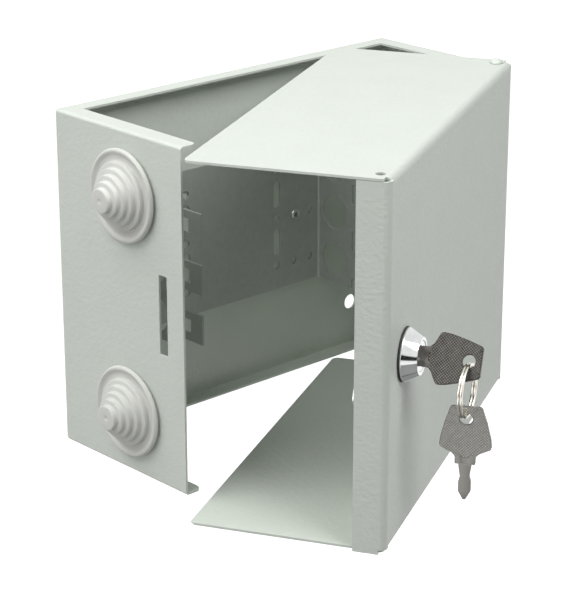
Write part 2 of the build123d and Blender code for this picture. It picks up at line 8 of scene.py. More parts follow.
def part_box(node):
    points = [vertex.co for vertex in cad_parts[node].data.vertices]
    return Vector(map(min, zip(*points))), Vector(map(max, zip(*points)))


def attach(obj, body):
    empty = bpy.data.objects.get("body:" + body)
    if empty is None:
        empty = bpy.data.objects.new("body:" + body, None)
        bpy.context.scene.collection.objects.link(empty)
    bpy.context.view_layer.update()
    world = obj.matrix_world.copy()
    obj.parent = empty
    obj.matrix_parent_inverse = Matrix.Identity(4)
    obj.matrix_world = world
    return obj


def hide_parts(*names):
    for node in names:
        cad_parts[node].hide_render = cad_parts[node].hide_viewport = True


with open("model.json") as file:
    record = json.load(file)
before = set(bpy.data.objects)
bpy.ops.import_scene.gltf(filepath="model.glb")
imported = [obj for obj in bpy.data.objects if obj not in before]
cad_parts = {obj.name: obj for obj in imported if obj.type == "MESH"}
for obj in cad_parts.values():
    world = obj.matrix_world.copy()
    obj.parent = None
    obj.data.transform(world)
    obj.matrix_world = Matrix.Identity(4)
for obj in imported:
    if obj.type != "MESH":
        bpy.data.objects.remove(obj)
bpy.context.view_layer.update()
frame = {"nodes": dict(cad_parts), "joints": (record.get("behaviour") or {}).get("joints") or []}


# Base pan. One sheet of 1 mm steel, cut and folded into a back, two walls and the lips round the top
# and bottom, then powder coated light grey with a green cast. It keeps its CAD shape, with the edges
# of the sheet softened by the thickness of the coat.
nodes = frame["nodes"]
MM = 0.001
SAME_POINT = MM / 1000
FLAT_WITHIN = radians(0.6)
EDGE_OVER = radians(40)
ROUND_UNDER = radians(50)
COAT_ROUND = 0.25 * MM
COAT_COLOUR = (0.645, 0.69, 0.63)
COAT_DARK = (0.638, 0.684, 0.624)
COAT_PALE = (0.65, 0.696, 0.636)
SHADES_PER_METRE = 60
PEEL_PER_METRE = 640
PEEL_HEIGHT = 0.5 * MM
DUST_PER_METRE = 1500
DUST_HEIGHT = 0.1 * MM


def coat_edges(node, width, finish):
    piece = bpy.data.objects.new(node + "_coated", nodes[node].data.copy())
    bpy.context.scene.collection.objects.link(piece)
    bpy.ops.object.select_all(action="DESELECT")
    bpy.context.view_layer.objects.active = piece
    piece.select_set(True)
    bpy.ops.object.mode_set(mode="EDIT")
    bpy.ops.mesh.select_all(action="SELECT")
    bpy.ops.mesh.remove_doubles(threshold=SAME_POINT)
    bpy.ops.mesh.dissolve_limited(angle_limit=FLAT_WITHIN)
    bpy.ops.object.mode_set(mode="OBJECT")
    bevel = piece.modifiers.new("coat", "BEVEL")
    bevel.width = width
    bevel.segments = 2
    bevel.limit_method = "ANGLE"
    bevel.angle_limit = EDGE_OVER
    bpy.ops.object.modifier_apply(modifier=bevel.name)
    bpy.ops.object.shade_smooth_by_angle(angle=ROUND_UNDER)
    flats = piece.modifiers.new("flats", "WEIGHTED_NORMAL")
    flats.keep_sharp = True
    bpy.ops.object.modifier_apply(modifier=flats.name)
    piece.data.materials.clear()
    piece.data.materials.append(finish)
    return piece


def mix_finish(name, colour, metal, roughness):
    finish = bpy.data.materials.new(name)
    finish.use_nodes = True
    shader = finish.node_tree.nodes["Principled BSDF"]
    shader.inputs["Base Color"].default_value = (*colour, 1)
    shader.inputs["Metallic"].default_value = metal
    shader.inputs["Roughness"].default_value = roughness
    return finish


def cloud(finish, per_metre, detail, stretch=1.0):
    tree = finish.node_tree
    place = tree.nodes.new("ShaderNodeTexCoord")
    turn = tree.nodes.new("ShaderNodeMapping")
    turn.inputs["Scale"].default_value = (1 / stretch, 1 / stretch, 1)
    noise = tree.nodes.new("ShaderNodeTexNoise")
    noise.inputs["Scale"].default_value = per_metre
    noise.inputs["Detail"].default_value = detail
    tree.links.new(place.outputs["Object"], turn.inputs["Vector"])
    tree.links.new(turn.outputs["Vector"], noise.inputs["Vector"])
    return noise.outputs["Fac"]


def raise_grain(finish, pattern, height, strength):
    tree = finish.node_tree
    shader = tree.nodes["Principled BSDF"]
    bump = tree.nodes.new("ShaderNodeBump")
    bump.inputs["Distance"].default_value = height
    bump.inputs["Strength"].default_value = strength
    tree.links.new(pattern, bump.inputs["Height"])
    if shader.inputs["Normal"].is_linked:
        tree.links.new(shader.inputs["Normal"].links[0].from_socket, bump.inputs["Normal"])
    tree.links.new(bump.outputs["Normal"], shader.inputs["Normal"])


def tint(finish, pattern, dark, pale, dark_at=0.35, pale_at=0.65):
    tree = finish.node_tree
    ramp = tree.nodes.new("ShaderNodeValToRGB")
    ramp.color_ramp.elements[0].position = dark_at
    ramp.color_ramp.elements[0].color = (*dark, 1)
    ramp.color_ramp.elements[1].position = pale_at
    ramp.color_ramp.elements[1].color = (*pale, 1)
    tree.links.new(pattern, ramp.inputs["Fac"])
    tree.links.new(ramp.outputs["Color"], tree.nodes["Principled BSDF"].inputs["Base Color"])


def vary_gloss(finish, pattern, glossy, matt, glossy_at=0.3, matt_at=0.7):
    tree = finish.node_tree
    spread = tree.nodes.new("ShaderNodeMapRange")
    spread.inputs["From Min"].default_value = glossy_at
    spread.inputs["From Max"].default_value = matt_at
    spread.inputs["To Min"].default_value = glossy
    spread.inputs["To Max"].default_value = matt
    tree.links.new(pattern, spread.inputs["Value"])
    tree.links.new(spread.outputs["Result"], tree.nodes["Principled BSDF"].inputs["Roughness"])


powder_coat = mix_finish("powder_coat", COAT_COLOUR, 0.0, 0.45)
peel = cloud(powder_coat, PEEL_PER_METRE, 1.5, stretch=1.4)
raise_grain(powder_coat, peel, PEEL_HEIGHT, 0.38)
dust = cloud(powder_coat, DUST_PER_METRE, 1.0, stretch=1.3)
raise_grain(powder_coat, dust, DUST_HEIGHT, 0.4)
tint(powder_coat, cloud(powder_coat, SHADES_PER_METRE, 3.0), COAT_DARK, COAT_PALE)
vary_gloss(powder_coat, peel, 0.42, 0.55)
base_pan = coat_edges("base_pan", COAT_ROUND, powder_coat)
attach(base_pan, "base")
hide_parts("base_pan")


# Chassis. One folded sheet of galvanised steel with pierced holes, slots and tabs, dull and grey with
# a faint spangle. It keeps its CAD shape, with the edges left crisp.
CUT_EDGE = 0.12 * MM
ZINC_COLOUR = (0.46, 0.48, 0.455)
ZINC_DARK = (0.445, 0.465, 0.44)
ZINC_PALE = (0.475, 0.495, 0.47)
SPANGLE_PER_METRE = 420
ZINC_GRAIN_PER_METRE = 900
ZINC_GRAIN_HEIGHT = 0.04 * MM
galvanised = mix_finish("galvanised", ZINC_COLOUR, 0.45, 0.5)
spangle = galvanised.node_tree.nodes.new("ShaderNodeTexVoronoi")
spangle.inputs["Scale"].default_value = SPANGLE_PER_METRE
spangle_at = galvanised.node_tree.nodes.new("ShaderNodeTexCoord")
galvanised.node_tree.links.new(spangle_at.outputs["Object"], spangle.inputs["Vector"])
tint(galvanised, spangle.outputs["Color"], ZINC_DARK, ZINC_PALE, dark_at=0.1, pale_at=0.9)
zinc_grain = cloud(galvanised, ZINC_GRAIN_PER_METRE, 3.0)
vary_gloss(galvanised, zinc_grain, 0.42, 0.6)
raise_grain(galvanised, zinc_grain, ZINC_GRAIN_HEIGHT, 0.3)
chassis = coat_edges("chassis", CUT_EDGE, galvanised)
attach(chassis, "base")
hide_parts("chassis")


# Eyelets. Two small plated steel tubes, head flush in the back panel, rolled over the chassis at the
# front into a bright rim round a dark hole.
up = Vector((0, 0, 1))
SHEET = 1.0
EYELET_HEAD_R = 2.7
EYELET_NECK_R = 1.5
EYELET_BORE_R = 0.95
EYELET = [(0, 0), (EYELET_HEAD_R, 0), (EYELET_HEAD_R, SHEET), (EYELET_NECK_R, SHEET)]
EYELET += [(EYELET_NECK_R, 2 * SHEET), (2.3, 2.0), (2.4, 2.25), (2.32, 2.75), (1.95, 3.1)]
EYELET += [(1.45, 3.18), (1.05, 2.95), (EYELET_BORE_R, 2.5), (EYELET_BORE_R, SHEET), (0, SHEET)]
PLATE_COLOUR = (0.62, 0.62, 0.60)
PLATE_DARK = (0.56, 0.56, 0.54)
PLATE_PALE = (0.68, 0.68, 0.66)
PLATE_GRAIN_PER_METRE = 700
PLATE_GRAIN_HEIGHT = 0.03 * MM


def drawn_line(name, points):
    bpy.ops.object.select_all(action="DESELECT")
    bpy.ops.mesh.primitive_plane_add(size=MM, location=(0, 0, 0))
    piece = bpy.context.object
    piece.name = name
    bpy.ops.object.mode_set(mode="EDIT")
    bpy.ops.mesh.select_all(action="SELECT")
    bpy.ops.mesh.merge(type="CENTER")
    bpy.ops.transform.translate(value=points[0])
    for last, point in zip(points, points[1:]):
        bpy.ops.mesh.extrude_vertices_move(TRANSFORM_OT_translate={"value": point - last})
    return piece


def spun(name, profile, steps):
    piece = drawn_line(name, [Vector((radius * MM, 0, height * MM)) for radius, height in profile])
    bpy.ops.mesh.select_all(action="SELECT")
    bpy.ops.mesh.spin(steps=steps, angle=2 * pi, center=(0, 0, 0), axis=(0, 0, 1))
    bpy.ops.mesh.select_all(action="SELECT")
    bpy.ops.mesh.remove_doubles(threshold=SAME_POINT)
    bpy.ops.mesh.normals_make_consistent(inside=False)
    bpy.ops.object.mode_set(mode="OBJECT")
    return piece


def bevelled(piece, width, segments, over, smooth, slot=-1):
    bevel = piece.modifiers.new("edges", "BEVEL")
    bevel.material = slot
    bevel.width = width
    bevel.segments = segments
    bevel.limit_method = "ANGLE"
    bevel.angle_limit = radians(over)
    bpy.ops.object.select_all(action="DESELECT")
    bpy.context.view_layer.objects.active = piece
    piece.select_set(True)
    bpy.ops.object.modifier_apply(modifier=bevel.name)
    bpy.ops.object.shade_smooth_by_angle(angle=radians(smooth))


def stood(piece, origin, axis, side, finish):
    z = axis.normalized()
    x = (side - z * side.dot(z)).normalized()
    place = Matrix((x, z.cross(x), z)).transposed().to_4x4()
    place.translation = origin
    piece.data.transform(place)
    piece.data.materials.clear()
    piece.data.materials.append(finish)


zinc_plate = mix_finish("zinc_plate", PLATE_COLOUR, 1.0, 0.3)
plate_grain = cloud(zinc_plate, PLATE_GRAIN_PER_METRE, 3.0)
tint(zinc_plate, plate_grain, PLATE_DARK, PLATE_PALE)
vary_gloss(zinc_plate, plate_grain, 0.24, 0.38)
raise_grain(zinc_plate, plate_grain, PLATE_GRAIN_HEIGHT, 0.25)
low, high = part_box("chassis_eyelets")
pair = []
for x in (low.x + EYELET_HEAD_R * MM, high.x - EYELET_HEAD_R * MM):
    eyelet = spun("eyelet", EYELET, 40)
    bevelled(eyelet, 0.06 * MM, 2, over=50, smooth=40)
    stood(eyelet, Vector((x, high.y, (low.z + high.z) / 2)), Vector((0, -1, 0)), up, zinc_plate)
    pair.append(eyelet)
bpy.ops.object.select_all(action="DESELECT")
for eyelet in pair:
    eyelet.select_set(True)
bpy.context.view_layer.objects.active = pair[0]
bpy.ops.object.join()
pair[0].name = "chassis_eyelets_rolled"
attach(pair[0], "base")
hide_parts("chassis_eyelets")


# Grommets. Moulded in warm light-grey rubber: five rounded steps to a blunt nose, a raised rim round
# a shallow well, and a snap groove that holds each one in the left wall. Hollow behind.
RUBBER_COLOUR = (0.665, 0.672, 0.635)
RUBBER_DARK = (0.658, 0.665, 0.628)
RUBBER_PALE = (0.672, 0.679, 0.642)
RUBBER_GRAIN_PER_METRE = 1500
RUBBER_GRAIN_HEIGHT = 0.03 * MM
grommet_rubber = mix_finish("grommet_rubber", RUBBER_COLOUR, 0.0, 0.5)
rubber_grain = cloud(grommet_rubber, RUBBER_GRAIN_PER_METRE, 2.0)
raise_grain(grommet_rubber, rubber_grain, RUBBER_GRAIN_HEIGHT, 0.25)
rubber_shades = cloud(grommet_rubber, SHADES_PER_METRE, 3.0)
tint(grommet_rubber, rubber_shades, RUBBER_DARK, RUBBER_PALE)
vary_gloss(grommet_rubber, rubber_shades, 0.42, 0.54)
STEPS_UNDER_NOSE = 4
STEP_SIZE = 2.25
GROOVE_R = 15.0
SNAP_R = 17.0
SNAP_BACK = 3.0
HOLLOW_R = 12.9
HOLLOW_AT = 2.6
# profile as radius and height over the wall: nose, steps, well and rim, snap groove, then the hollow
GROMMET = [(0, 12.75), (0.7, 12.78), (1.0, 12.95), (1.4, 13.0), (4.9, 13.0)]
for step in range(STEPS_UNDER_NOSE):
    down = STEP_SIZE * step
    GROMMET += [(5.2 + down, 12.6 - down), (5.3 + down, 10.9 - down), (7.15 + down, 10.75 - down)]
GROMMET += [(14.2, 3.6), (14.3, 1.9), (15.6, 1.75), (16.9, 1.95), (17.6, 2.5), (18.2, 2.85)]
GROMMET += [(18.8, 2.8), (19.35, 2.3), (19.6, 1.6), (19.2, 0.9), (18.3, 0.6), (17.9, 0.05)]
GROMMET += [(GROOVE_R, 0.0), (GROOVE_R, -SHEET), (SNAP_R, -SHEET), (SNAP_R, -SNAP_BACK)]
GROMMET.append((HOLLOW_R, -SNAP_BACK))
for step in range(STEPS_UNDER_NOSE + 1):
    GROMMET.append((HOLLOW_R - STEP_SIZE * step, HOLLOW_AT + STEP_SIZE * step))
    inner = HOLLOW_R - STEP_SIZE * (step + 1) if step < STEPS_UNDER_NOSE else 0
    GROMMET.append((inner, HOLLOW_AT + STEP_SIZE * step))
for node in ("upper_grommet", "lower_grommet"):
    low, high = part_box(node)
    wall = Vector((high.x - SNAP_BACK * MM, (low.y + high.y) / 2, (low.z + high.z) / 2))
    grommet = spun(node + "_moulded", GROMMET, 96)
    bevelled(grommet, 0.45 * MM, 3, over=24, smooth=40)
    stood(grommet, wall, Vector((-1, 0, 0)), up, grommet_rubber)
    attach(grommet, "base")
    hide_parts(node)


# Hinge. At the top and bottom a coated steel rivet with a domed head holds the cover's corner to the
# base pan's ear, over a white nylon washer.
joints = {joint["name"]: joint for joint in frame["joints"]}
pivot = Vector(joints["cover_hinge"]["pos_m"])
DOME_H = 2.0
RIVET_SHANK_R = 2.0
RIVET_TAIL_R = 2.75
NYLON_COLOUR = (0.80, 0.80, 0.77)
NYLON_GRAIN_PER_METRE = 900
NYLON_GRAIN_HEIGHT = 0.02 * MM
ear_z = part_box("base_pan")[1].z
for node, side in (("top_hinge_rivet", 1), ("bottom_hinge_rivet", -1)):
    low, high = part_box(node)
    ear = Vector((pivot.x, pivot.y, side * ear_z))
    dome = (high.z if side > 0 else -low.z) / MM - ear_z / MM
    seat = dome - DOME_H
    RIVET = [(0, dome), (0.9, dome - 0.08), (1.7, dome - 0.34), (2.35, dome - 0.78)]
    RIVET += [(2.78, dome - 1.35), (2.9, dome - 1.85), (2.86, seat), (RIVET_SHANK_R, seat)]
    RIVET += [(RIVET_SHANK_R, -SHEET), (RIVET_TAIL_R, -SHEET), (RIVET_TAIL_R, -1.6)]
    RIVET += [(2.3, -2.05), (1.2, -2.1), (0, -2.1)]
    rivet = spun(node + "_headed", RIVET, 48)
    bevelled(rivet, 0.1 * MM, 2, over=40, smooth=40)
    stood(rivet, ear, up * side, Vector((1, 0, 0)), powder_coat)
    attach(rivet, "base")
    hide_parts(node)
nylon = mix_finish("washer_nylon", NYLON_COLOUR, 0.0, 0.45)
raise_grain(nylon, cloud(nylon, NYLON_GRAIN_PER_METRE, 2.0), NYLON_GRAIN_HEIGHT, 0.2)
for node in ("top_hinge_washer", "bottom_hinge_washer"):
    nodes[node].material_slots[0].material = nylon


# Cover. Front, top and bottom folded from one sheet of the same steel, with two side flanges, open at
# the corners where the folds meet. Coated as the base pan is. It keeps its CAD shape.
cover = coat_edges("cover", COAT_ROUND, powder_coat)
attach(cover, "cover_group")
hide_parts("cover")


# Lock. A die-cast, chromed housing with a conical head. Behind the panel its threaded body has two
# flats that stop it turning in the cover's hole.
lock_at = Vector(joints["lock_turn"]["pos_m"])
outward = -Vector(joints["lock_turn"]["axis"]).normalized()
across = up.cross(outward).normalized()
CHROME_COLOUR = (0.74, 0.745, 0.75)
CHROME_DARK = (0.71, 0.715, 0.72)
CHROME_PALE = (0.77, 0.775, 0.78)
CHROME_GRAIN_PER_METRE = 300
chrome = mix_finish("lock_chrome", CHROME_COLOUR, 1.0, 0.1)
chrome_grain = cloud(chrome, CHROME_GRAIN_PER_METRE, 2.0)
vary_gloss(chrome, chrome_grain, 0.08, 0.15)
tint(chrome, chrome_grain, CHROME_DARK, CHROME_PALE)
PLUG_BORE_R = 5.06
BODY_R = 9.19
BODY_FROM = 0.05
BODY_TO = -13.0
BODY_FLATS_AT = 8.0
THREAD_ROOT_R = 8.75
THREAD_FROM = -5.3
THREAD_PITCH = 0.75
THREAD_RIDGES = 9
HEAD = [(BODY_R, BODY_FROM), (BODY_R, 0.8), (10.5, 0.8), (10.68, 1.0), (10.68, 1.5), (10.4, 1.75)]
HEAD += [(7.6, 6.8), (7.45, 7.05), (7.2, 7.1), (6.3, 7.1), (6.01, 6.85), (6.01, 4.99)]
HEAD += [(PLUG_BORE_R, 4.99), (PLUG_BORE_R, BODY_FROM), (BODY_R, BODY_FROM)]
head = spun("lock_housing_turned", HEAD, 128)
bevelled(head, 0.08 * MM, 2, over=35, smooth=35)
BODY = [(PLUG_BORE_R, BODY_FROM), (BODY_R, BODY_FROM), (BODY_R, -5.0)]
for ridge in range(THREAD_RIDGES):
    BODY.append((BODY_R, THREAD_FROM - THREAD_PITCH * ridge))
    BODY.append((THREAD_ROOT_R, THREAD_FROM - THREAD_PITCH * (ridge + 0.5)))
BODY += [(9.0, -12.4), (8.6, BODY_TO), (PLUG_BORE_R, BODY_TO), (PLUG_BORE_R, BODY_FROM)]
body = spun("lock_body", BODY, 96)
bpy.ops.object.mode_set(mode="EDIT")
for side in (-1, 1):
    bpy.ops.mesh.select_all(action="SELECT")
    flat = (BODY_FLATS_AT * MM * side, 0, 0)
    bpy.ops.mesh.bisect(plane_co=flat, plane_no=(side, 0, 0), use_fill=True, clear_outer=True)
bpy.ops.object.mode_set(mode="OBJECT")
bevelled(body, 0.05 * MM, 1, over=60, smooth=35)
bpy.ops.object.select_all(action="DESELECT")
body.select_set(True)
head.select_set(True)
bpy.context.view_layer.objects.active = head
bpy.ops.object.join()
stood(head, lock_at, outward, across, chrome)
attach(head, "cover_group")
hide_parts("lock_housing")


# Gasket. A flat ring moulded in black rubber, pinched between the lock's head and the cover. Its outer
# edge shows as a dark line behind the chrome.
GASKET_COLOUR = (0.02, 0.02, 0.02)
GASKET_DARK = (0.015, 0.015, 0.015)
GASKET_PALE = (0.03, 0.03, 0.03)
GASKET_GRAIN_PER_METRE = 1200
GASKET_GRAIN_HEIGHT = 0.03 * MM
gasket_rubber = mix_finish("gasket_rubber", GASKET_COLOUR, 0.0, 0.6)
gasket_grain = cloud(gasket_rubber, GASKET_GRAIN_PER_METRE, 2.0)
raise_grain(gasket_rubber, gasket_grain, GASKET_GRAIN_HEIGHT, 0.3)
tint(gasket_rubber, gasket_grain, GASKET_DARK, GASKET_PALE)
GASKET_BORE_R = 9.21
GASKET_T = 0.8
GASKET = [(GASKET_BORE_R, 0), (10.7, 0), (10.9, 0.15), (10.9, 0.62), (10.7, GASKET_T)]
GASKET += [(GASKET_BORE_R, GASKET_T), (GASKET_BORE_R, 0)]
gasket = spun("lock_gasket_moulded", GASKET, 96)
bevelled(gasket, 0.05 * MM, 2, over=40, smooth=40)
stood(gasket, lock_at, outward, across, gasket_rubber)
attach(gasket, "cover_group")
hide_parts("lock_gasket")


# Lock fixings. A toothed washer and a large hexagonal nut, zinc plated, clamp the housing from inside.
# The nut's corners are turned down on both faces.
nodes["lock_washer"].material_slots[0].material = zinc_plate
NUT_BORE_R = 9.2
NUT_FLATS_AT = 11.0
NUT_BLANK_R = 12.8
NUT_NEAR = -1.9
NUT_FAR = -5.9
NUT_TURNED = 0.85
NUT = [(NUT_BORE_R, NUT_NEAR), (NUT_FLATS_AT, NUT_NEAR), (NUT_BLANK_R, NUT_NEAR - NUT_TURNED)]
NUT += [(NUT_BLANK_R, NUT_FAR + NUT_TURNED), (NUT_FLATS_AT, NUT_FAR), (NUT_BORE_R, NUT_FAR)]
NUT.append((NUT_BORE_R, NUT_NEAR))
nut = spun("lock_nut_turned", NUT, 96)
bpy.ops.object.mode_set(mode="EDIT")
for k in range(6):
    facing = Vector((cos(radians(60 * k)), sin(radians(60 * k)), 0))
    flat = facing * NUT_FLATS_AT * MM
    bpy.ops.mesh.select_all(action="SELECT")
    bpy.ops.mesh.bisect(plane_co=flat, plane_no=facing, use_fill=True, clear_outer=True)
bpy.ops.object.mode_set(mode="OBJECT")
bevelled(nut, 0.08 * MM, 1, over=50, smooth=35)
low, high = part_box("lock_nut")
flats_face_up = abs((high.z - low.z) / MM - 2 * NUT_FLATS_AT) < 0.5
stood(nut, lock_at, outward, up if flats_face_up else across, zinc_plate)
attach(nut, "cover_group")
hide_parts("lock_nut")


# Cylinder and cam. The chromed plug turns in the housing, and a plated cam is held on its square end by
# a washer and a cross-slotted screw.
plug = coat_edges("lock_plug", CUT_EDGE, chrome)
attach(plug, "lock_cylinder")
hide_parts("lock_plug")
for node in ("cam", "cam_washer", "cam_screw"):
    piece = coat_edges(node, CUT_EDGE, zinc_plate)
    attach(piece, "lock_cylinder")
    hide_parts(node)


# Keys. Each is stamped from nickel-plated steel, 2 mm over its raised field: a waisted blade, a short
# shank with a pressed recess, and a bow with a cross-cut field in a plain border and a hole for the
# ring. The one in the lock is dark and worn. The grooves of the field are coloured darker as painted
# shade, and the diamond tops and rounded edges are paler, wear together with a painted highlight.
BLANK_T = 1.8
KEY_EDGE = 0.18 * MM
# half outline: distance out from the cover's front, half width there, corner radius
KEY_HALF = [(-8.0, 0.5, 0.3), (-4.5, 2.45, 0.6), (-0.6, 2.45, 1.0), (1.7, 1.85, 1.2), (5.7, 2.45, 0.8)]
KEY_HALF += [(6.8, 2.55, 0.0), (6.85, 4.0, 0.4), (10.1, 4.05, 0.9), (11.4, 5.3, 0.8)]
KEY_HALF += [(13.8, 10.15, 1.5), (17.6, 9.75, 8.0), (24.2, 8.1, 14.0), (30.5, 6.0, 1.3)]
KEY_HOLE_AT = 25.6
KEY_HOLE_R = 2.7
RECESS_AT = 8.5
RECESS_LONG = 2.6
RECESS_WIDE = 3.4
RECESS_TOOL_T = 0.5
RECESS_TOOL_AT = 0.95
FIELD_FROM = 9.6
FIELD_MIDDLE = 21.0
BORDER = 1.15
PITCH = 0.85
DIAGONAL = 1.4142
CUTS_EACH_SIDE = 18
DIAMOND_IN = 0.14
DIAMOND_UP = 0.1


def rounded(points, radii, steps=6):
    line = []
    count = len(points)
    for i in range(count):
        here = Vector(points[i])
        to_last = (Vector(points[i - 1]) - here).normalized()
        to_next = (Vector(points[(i + 1) % count]) - here).normalized()
        if radii[i] <= 0 or (to_last + to_next).length < 1e-4:
            line.append(here)
            continue
        half = to_last.angle(to_next) / 2
        centre = here + (to_last + to_next).normalized() * (radii[i] / sin(half))
        start = here + to_last * (radii[i] * cos(half) / sin(half)) - centre
        end = here + to_next * (radii[i] * cos(half) / sin(half)) - centre
        sweep = start.angle_signed(end)
        for k in range(steps + 1):
            line.append(centre + Matrix.Rotation(-sweep * k / steps, 2) @ start)
    return line


key_line = [(s, b) for s, b, r in KEY_HALF] + [(s, -b) for s, b, r in reversed(KEY_HALF)]
key_radii = [r for s, b, r in KEY_HALF] + [r for s, b, r in reversed(KEY_HALF)]
key_outline = [Vector((p.x * MM, p.y * MM, -BLANK_T / 2 * MM)) for p in rounded(key_line, key_radii)]


def cut_away(piece, cutter):
    hollow = piece.modifiers.new("cut", "BOOLEAN")
    hollow.object = cutter
    hollow.solver = "EXACT"
    bpy.ops.object.select_all(action="DESELECT")
    bpy.context.view_layer.objects.active = piece
    piece.select_set(True)
    bpy.ops.object.modifier_apply(modifier=hollow.name)
    bpy.data.objects.remove(cutter)


# the groove finish is darker, painted shade in the cross cuts; the last finish goes on the diamond tops
# and the rounded edges, wear together with a painted highlight
def stamped_key(name, plating, groove, rubbed_and_highlit):
    blank = drawn_line(name, key_outline)
    bpy.ops.mesh.select_all(action="SELECT")
    bpy.ops.mesh.edge_face_add()
    bpy.ops.mesh.extrude_region_move(TRANSFORM_OT_translate={"value": (0, 0, BLANK_T * MM)})
    bpy.ops.mesh.select_all(action="SELECT")
    bpy.ops.mesh.normals_make_consistent(inside=False)
    bpy.ops.object.mode_set(mode="OBJECT")
    hole = (KEY_HOLE_AT * MM, 0, 0)
    bpy.ops.mesh.primitive_cylinder_add(vertices=40, radius=KEY_HOLE_R * MM, depth=6 * MM, location=hole)
    cut_away(blank, bpy.context.object)
    for side in (-1, 1):
        recess = (RECESS_AT * MM, 0, side * RECESS_TOOL_AT * MM)
        bpy.ops.mesh.primitive_cube_add(size=1, location=recess)
        punch = bpy.context.object
        punch.scale = (RECESS_LONG * MM, RECESS_WIDE * MM, RECESS_TOOL_T * MM)
        cut_away(blank, punch)
    blank.data.materials.clear()
    for finish in (plating, groove, rubbed_and_highlit):
        blank.data.materials.append(finish)
    # the field: the flat of the bow inside a plain border, on both faces
    bpy.ops.object.mode_set(mode="EDIT")
    bpy.ops.mesh.select_all(action="SELECT")
    bpy.ops.mesh.bisect(plane_co=(FIELD_FROM * MM, 0, 0), plane_no=(1, 0, 0))
    bpy.ops.object.mode_set(mode="OBJECT")
    for face in blank.data.polygons:
        face.select = abs(face.normal.z) > 0.9 and face.center.x > FIELD_FROM * MM
    bpy.ops.object.mode_set(mode="EDIT")
    bpy.ops.mesh.select_mode(type="FACE")
    bpy.ops.mesh.inset(thickness=BORDER * MM, depth=0)
    # the field takes the darker finish, which stays in the grooves round the diamonds as painted shade
    blank.active_material_index = 1
    bpy.ops.object.material_slot_assign()
    # cross cuts both ways, then each diamond between them is raised from its groove
    for lean in (-1, 1):
        for k in range(-CUTS_EACH_SIDE, CUTS_EACH_SIDE + 1):
            bpy.ops.mesh.select_all(action="DESELECT")
            bpy.ops.object.material_slot_select()
            at = (FIELD_MIDDLE * MM + PITCH * k * MM * DIAGONAL, 0, 0)
            bpy.ops.mesh.bisect(plane_co=at, plane_no=(1, lean, 0))
    bpy.ops.mesh.select_all(action="DESELECT")
    bpy.ops.object.material_slot_select()
    bpy.ops.mesh.inset(use_individual=True, thickness=DIAMOND_IN * MM, depth=DIAMOND_UP * MM)
    # the raised diamond tops take the paler finish: wear together with a painted highlight
    blank.active_material_index = 2
    bpy.ops.object.material_slot_assign()
    bpy.ops.mesh.select_mode(type="VERT")
    bpy.ops.object.mode_set(mode="OBJECT")
    # the rounded edges take the paler finish too, a painted highlight along the edges together with wear
    bevelled(blank, KEY_EDGE, 2, over=60, smooth=25, slot=2)
    return blank


NICKEL_GRAIN_PER_METRE = 500
NICKEL_GRAIN_HEIGHT = 0.03 * MM
REST_TURN = radians(28)
key_plating = mix_finish("key_dark", (0.105, 0.10, 0.09), 1.0, 0.36)
key_grain = cloud(key_plating, NICKEL_GRAIN_PER_METRE, 4.0)
tint(key_plating, key_grain, (0.09, 0.086, 0.078), (0.12, 0.114, 0.104))
vary_gloss(key_plating, key_grain, 0.3, 0.46)
raise_grain(key_plating, key_grain, NICKEL_GRAIN_HEIGHT, 0.3)
# darker finish for the grooves: painted shade in the cross cuts
key_shaded_groove = mix_finish("key_shaded_groove", (0.03, 0.028, 0.026), 0.6, 0.6)
groove_grain = cloud(key_shaded_groove, NICKEL_GRAIN_PER_METRE, 4.0)
tint(key_shaded_groove, groove_grain, (0.02, 0.019, 0.018), (0.04, 0.038, 0.035))
# paler finish for the diamond tops and rounded edges: wear together with a painted highlight
key_rubbed_and_highlit = mix_finish("key_rubbed_and_highlit", (0.15, 0.142, 0.128), 1.0, 0.3)
rubbed_and_highlit_grain = cloud(key_rubbed_and_highlit, NICKEL_GRAIN_PER_METRE, 4.0)
tint(key_rubbed_and_highlit, rubbed_and_highlit_grain, (0.135, 0.128, 0.115), (0.165, 0.156, 0.141))
key_up = up * cos(REST_TURN) + across * sin(REST_TURN)
key = stamped_key("key_stamped", key_plating, key_shaded_groove, key_rubbed_and_highlit)
place = Matrix((outward, key_up, outward.cross(key_up))).transposed().to_4x4()
place.translation = lock_at
key.data.transform(place)
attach(key, "key_group")
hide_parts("key")


# Spare key. From the same tool as the one in the lock, plated paler and less worn. It hangs from the
# ring blade down, its plate a few degrees off the ring's axis.
COVER_OPEN = 28.578
SPARE_OFF_AXIS = 6
SPARE_YAW = radians(COVER_OPEN - 90 + SPARE_OFF_AXIS)
KEY_END = KEY_HALF[-1][0]
spare_plating = mix_finish("key_light", (0.26, 0.253, 0.235), 1.0, 0.42)
spare_grain = cloud(spare_plating, NICKEL_GRAIN_PER_METRE, 4.0)
tint(spare_plating, spare_grain, (0.243, 0.236, 0.219), (0.277, 0.27, 0.251))
vary_gloss(spare_plating, spare_grain, 0.36, 0.5)
raise_grain(spare_plating, spare_grain, NICKEL_GRAIN_HEIGHT, 0.3)
# darker finish for the grooves: painted shade in the cross cuts
spare_shaded_groove = mix_finish("key_light_shaded_groove", (0.21, 0.204, 0.19), 0.9, 0.55)
groove_grain = cloud(spare_shaded_groove, NICKEL_GRAIN_PER_METRE, 4.0)
tint(spare_shaded_groove, groove_grain, (0.19, 0.185, 0.172), (0.23, 0.224, 0.209))
